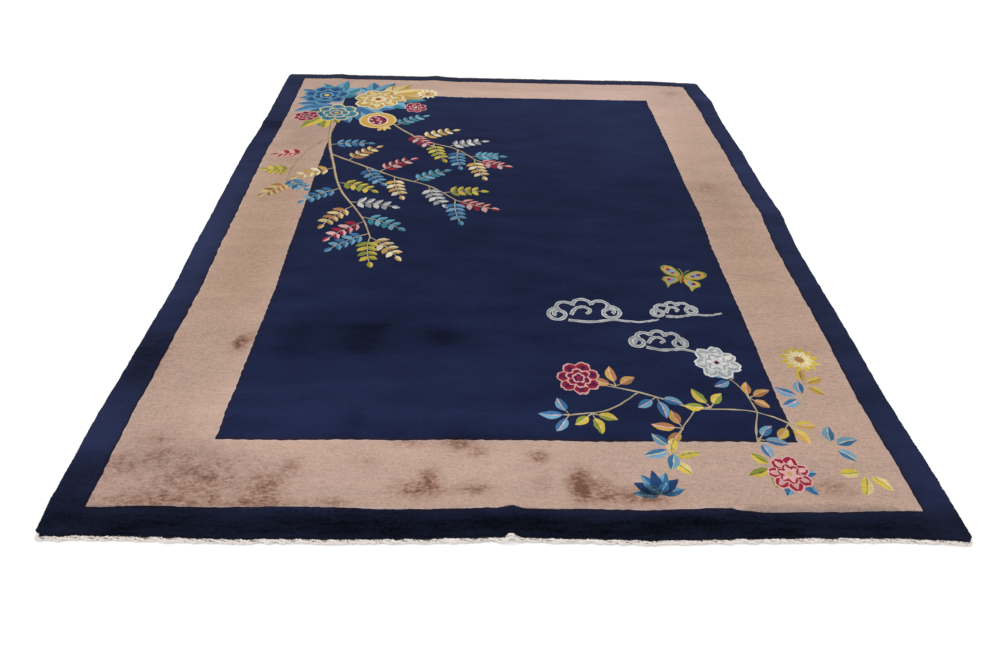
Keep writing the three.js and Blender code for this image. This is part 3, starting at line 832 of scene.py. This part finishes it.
# A Random Value node takes vectors at its inputs 0 and 1 and numbers at 2 and 3, and gives them at 0 and 1.
astray = node("RandomValue FLOAT_VECTOR", {0: (-0.35, -0.35, -0.5), 1: (0.35, 0.35, 0.5), "Seed": 5})
raised = node("CombineXYZ", {"Z": given["Upright"]})
for push in (astray, raised):
    leaning = node("VectorMath ADD", (leaning, push))
facing = node("AlignRotationToVector", {"Vector": leaning}, axis="Z")
tuft = node("MeshCone", {
    "Vertices": 5, "Radius Top": 0.0008, "Radius Bottom": 0.0018, "Depth": given["Length"]})
size = node("RandomValue", {2: 0.75, 3: 1.1, "Seed": 8}, 1)
planted = node("InstanceOnPoints", {
    "Points": rim_points, "Instance": tuft, "Rotation": facing, "Scale": size})
plain = node("RealizeInstances", (planted,))
dyed = node("SetMaterial", {"Geometry": plain, "Material": given["Wool"]})
node("GroupOutput", {"Tufts": dyed})

for name, lines, upright, length, wool_name in EDGE_RUNS:
    steps = np.linspace(0, 1, EDGE_STEPS)[:, None]
    runs = [np.array((x0, y0)) + steps * (x1 - x0, y1 - y0) for x0, y0, x1, y1 in lines]
    paths = [laid(run, TUFT_ROOT) + lie for run in runs]
    edge_wool = edge_wools[wool_name]
    values = {"Pitch": TUFT_PITCH, "Length": length, "Upright": upright, "Wool": edge_wool}
    run_of_tufts = grown(name, paths, grow, values, edge_wool)
    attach(run_of_tufts, "root")
    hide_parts("rug")


# End webs.
# Past the last row of knots the cream cotton warps are gathered into a lumpy twisted web along each end,
# bundle by bundle, and at one corner the last of them are tied in a knot.
WEB_FROM, WEB_TO, WEB_OUT = -1.362, 1.359, 0.0085
WEB_HEIGHT, WEB_THICKNESS, WEB_STEPS = 0.0043, 0.0031, 300
WEB_STRANDS, WEB_LAY = 3, 0.13
WEB_CURL, CURL_REACH = 0.007, 0.012
PEAK_RISE, PEAK_NARROWING = 1.14, 0.6
KNOT_SIZE = 0.0014
STRAND_REACH, YARN_SIZE, LUMP_SIZE = (0, 0.0045, 0.0017), 0.004, 0.006
SWELL_LENGTH, WOBBLE_LENGTH = 0.09, 0.05

# Undyed cotton: matt looped yarn some 4 mm thick, grey in the dips between strands as dust and painted shade,
# and darker towards the floor as painted shade beneath it.
cotton, node = material("cream_cotton")
place = node("TexCoord", out="Object")
crest = node("Attribute", out="Fac", attribute_name="crest")
yarn = node("TexNoise", {"Vector": place, "Scale": 1 / YARN_SIZE, "Detail": 2})
# Painted shade and dust: the nearer a point lies to the middle of the web, the greyer it is.
clean_and_lit = node("MapRange", (crest, 0.0014, 0.0046))
clean_and_lit = node("Math MULTIPLY_ADD", (yarn, 0.5, clean_and_lit))
clean_and_lit = node("Math SUBTRACT", (clean_and_lit, 0.2), use_clamp=True)
# Painted shade: the web is greyer towards the floor.
height = node("SeparateXYZ", (place,), "Z")
raised = node("MapRange", (height, 0, 0.0055, 0.2, 1))
clean_and_lit = node("Math MULTIPLY", (clean_and_lit, raised))
mixed = node("Mix RGBA", {"Factor": clean_and_lit, 6: linear("#b0a7a1"), 7: linear("#eae2dc")}, 2)
bump = node("Bump", {"Height": yarn, "Strength": 0.6, "Distance": 0.001})
shader = node("BsdfPrincipled", {
    "Base Color": mixed, "Roughness": 0.9, "Specular IOR Level": 0.2, "Normal": bump})
node("OutputMaterial", {"Surface": shader})

twist, node, given = growth("twisted_web", {
    "Path": "Geometry", "Lay": "Float", "Thickness": "Float", "Height": "Float", "Cotton": "Material"}, "Web")
position = node("InputPosition")
run = node("ResampleCurve LENGTH", {"Curve": given["Path"], "Length": 0.003})
distance = node("SplineParameter", out="Length")
turned = node("Math DIVIDE", (distance, given["Lay"]))
slow = node("TexNoise", {"W": distance, "Scale": 1 / SWELL_LENGTH}, noise_dimensions="1D")
bulk = node("MapRange", (slow, 0.25, 0.75, 0.65, 1.35))
bulk = node("Math MULTIPLY", (bulk, given["Thickness"]))
# The web is thinner near both corners.
off_middle = node("SplineParameter", out="Factor")
off_middle = node("Math SUBTRACT", (off_middle, 0.5))
off_middle = node("Math ABSOLUTE", (off_middle,))
tapered = node("MapRange", (off_middle, 0.36, 0.47, 1, 0.74))
bulk = node("Math MULTIPLY", (bulk, tapered))
section = node("CurvePrimitiveCircle", {"Resolution": 8, "Radius": 1})
strands = []
for strand in range(WEB_STRANDS):
    shifted = node("Math ADD", (distance, 7.3 * strand))
    wobble = node("TexNoise", {"W": shifted, "Scale": 1 / WOBBLE_LENGTH}, noise_dimensions="1D")
    angle = node("Math MULTIPLY_ADD", (wobble, 0.6, turned))
    angle = node("Math ADD", (angle, strand / WEB_STRANDS))
    angle = node("Math MULTIPLY", (angle, 2 * math.pi))
    aside = node("CombineXYZ", {"Y": node("Math COSINE", (angle,)), "Z": node("Math SINE", (angle,))})
    aside = node("VectorMath MULTIPLY", (aside, STRAND_REACH))
    bent = node("SetPosition", {"Geometry": run, "Offset": aside})
    swell = node("Math MULTIPLY_ADD", (wobble, 1.1, 0.4))
    thick = node("Math MULTIPLY", (swell, bulk))
    strands.append(node("CurveToMesh", {
        "Curve": bent, "Profile Curve": section, "Scale": thick, "Fill Caps": True}))
# The loops of the yarn stand out of the strands as small lumps.
lump = node("TexNoise", {"Vector": position, "Scale": 1 / LUMP_SIZE, "Detail": 1})
lump = node("Math MULTIPLY_ADD", (lump, 0.008, -0.0036))
pushed = node("VectorMath SCALE", {0: node("InputNormal"), "Scale": lump})
twisted = node("JoinGeometry", (strands,))
web_parts = [node("SetPosition", {"Geometry": twisted, "Offset": pushed})]
# Each bundle of warps is knotted once; where the rug arches up, more of them hang down beneath it.
at = node("SeparateXYZ", (position,)).node.outputs
over = node("Math SUBTRACT", (at["Z"], given["Height"]))
arched = node("Compare GREATER_THAN", (over, 0.0015))
knot = node("MeshUVSphere", {"Segments": 6, "Rings": 4, "Radius": 1})
for gap, lowest, where, seed in ((0.0062, 0.5, True, 3), (0.0022, 0.25, arched, 13)):
    beads = node("CurveToPoints LENGTH", {"Curve": given["Path"], "Length": gap})
    hang = node("RandomValue", {2: lowest, 3: 1, "Seed": seed}, 1)
    hung = node("Math MULTIPLY_ADD", (over, hang, given["Height"]))
    middle = node("CombineXYZ", (at["X"], at["Y"], hung))
    astray = node("RandomValue FLOAT_VECTOR", {
        0: (-0.002, -0.0045, -0.0008), 1: (0.002, 0.0045, 0.0016), "Seed": seed + 1})
    moved = node("SetPosition", {"Geometry": beads, "Position": middle, "Offset": astray})
    size = node("RandomValue FLOAT_VECTOR", {
        0: (0.0024, 0.0024, 0.0022), 1: (0.0066, 0.0044, 0.0042), "Seed": seed + 6})
    web_parts.append(node("InstanceOnPoints", {
        "Points": moved, "Selection": where, "Instance": knot, "Scale": size}))
# A few cut warp ends stick out.
ends = node("CurveToPoints LENGTH", {"Curve": given["Path"], "Length": 0.011})
picked = node("RandomValue BOOLEAN", {"Probability": 0.12, "Seed": 21}, 3)
lean = node("RandomValue FLOAT_VECTOR", {0: (-0.8, -0.6, 0.3), 1: (0.8, 0.6, 1), "Seed": 22})
turn = node("AlignRotationToVector", {"Vector": lean}, axis="Z")
thread = node("MeshCone", {"Vertices": 4, "Radius Top": 0.0004, "Radius Bottom": 0.0009, "Depth": 0.0105})
web_parts.append(node("InstanceOnPoints", {
    "Points": ends, "Selection": picked, "Instance": thread, "Rotation": turn}))
joined = node("JoinGeometry", (web_parts,))
plain = node("RealizeInstances", (joined,))
# Nothing of it reaches below the floor.
above = node("Math MAXIMUM", (at["Z"], 0.0003))
rested = node("CombineXYZ", (at["X"], at["Y"], above))
rested = node("SetPosition", {"Geometry": plain, "Position": rested})
# How far each point stands out from the middle of the web; by it the cotton greys the dips with painted shade
# and dust.
core = node("CurveToPoints LENGTH", {"Curve": given["Path"], "Length": 0.004})
nearest = node("Proximity", {0: core}, "Position", target_element="POINTS")
off = node("VectorMath SUBTRACT", (position, nearest))
off = node("VectorMath MULTIPLY", (off, (0, 0.62, 1)))
off = node("VectorMath LENGTH", (off,), "Value")
rested = node("StoreNamedAttribute", {"Geometry": rested, "Name": "crest", "Value": off})
clad = node("SetMaterial", {"Geometry": rested, "Material": given["Cotton"]})
node("GroupOutput", {"Web": clad})

for name, solid, end in (("near_twisted_web", "near_end_web", -1), ("far_twisted_web", "far_end_web", 1)):
    x = np.linspace(WEB_FROM, WEB_TO, WEB_STEPS)
    axis = laid(np.stack([x, np.full(WEB_STEPS, end * RUG_LENGTH / 2)], 1), WEB_HEIGHT) + lie
    # The web curls back round the corner of the pile at its two ends.
    curl = np.clip(1 - np.minimum(x - WEB_FROM, WEB_TO - x) / CURL_REACH, 0, 1)
    axis[:, 1] += end * (WEB_OUT - WEB_CURL * curl ** 2)
    # Where the rug arches, the web stands up in a narrower peak.
    lift = axis[:, 2] - WEB_HEIGHT
    axis[:, 2] = WEB_HEIGHT + PEAK_RISE * lift * (lift / lift.max()) ** PEAK_NARROWING
    paths = [axis]
    if end < 0:
        t = np.linspace(0, 2 * math.pi, 40)
        wide = 2 + np.cos(3 * t)
        tied = np.stack([wide * np.cos(2 * t), wide * np.sin(2 * t), np.sin(3 * t)], 1)
        paths.append(axis[0] + (0.004, 0, 0.0012) + tied * KNOT_SIZE * (1, 1, 0.6))
    values = {"Lay": WEB_LAY, "Thickness": WEB_THICKNESS, "Height": WEB_HEIGHT, "Cotton": cotton}
    web = grown(name, paths, twist, values, cotton)
    web.data.shade_smooth()
    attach(web, "root")
    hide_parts(solid)


# Floor, light and camera.
# A floor of white paper that glows a little, an even white room and one broad soft lamp from the near left.
FLOOR_REACH = 200
floor_mesh = bpy.data.meshes.new("floor")
floor_corners = [(x * FLOOR_REACH, y * FLOOR_REACH, 0) for x, y in ((-1, -1), (1, -1), (1, 1), (-1, 1))]
floor_mesh.from_pydata(floor_corners, [], [(0, 1, 2, 3)])
floor = shown("floor", floor_mesh)
paper, node = material("white_paper")
shader = node("BsdfPrincipled", {
    "Base Color": linear("#fcfcfc"), "Roughness": 1, "Specular IOR Level": 0,
    "Emission Color": (1, 1, 1, 1), "Emission Strength": 0.15})
node("OutputMaterial", {"Surface": shader})
floor_mesh.materials.append(paper)

studio = bpy.data.worlds.new("studio")
studio.use_nodes = True
even_light = studio.node_tree.nodes["Background"].inputs
even_light["Color"].default_value = (1, 1, 1, 1)
even_light["Strength"].default_value = 0.85
bpy.context.scene.world = studio
lamp = bpy.data.lights.new("soft_lamp", "SUN")
lamp.energy = 0.9
lamp.angle = math.radians(50)
shown("soft_lamp", lamp).rotation_euler = Vector((0.45, -0.75, -1)).to_track_quat("-Z", "Y").to_euler()

# The camera stands near the middle of the near end, looks 39 degrees down and is rolled by 2 degrees.
CAMERA_PLACE = (-0.09293, -3.15146, 1.84547)
YAW, PITCH, ROLL = 2.014, 38.907, 1.903
lens = bpy.data.cameras.new("camera")
lens.sensor_width, lens.lens = 36, 27
camera = shown("camera", lens)
pose = Matrix.Translation(Vector(CAMERA_PLACE) + Vector(lie))
for degrees, about in ((-YAW, "Z"), (90 - PITCH, "X"), (ROLL, "Z")):
    pose = pose @ Matrix.Rotation(math.radians(degrees), 4, about)
camera.matrix_world = pose
bpy.context.scene.camera = camera
bpy.context.scene.view_settings.view_transform = "Standard"
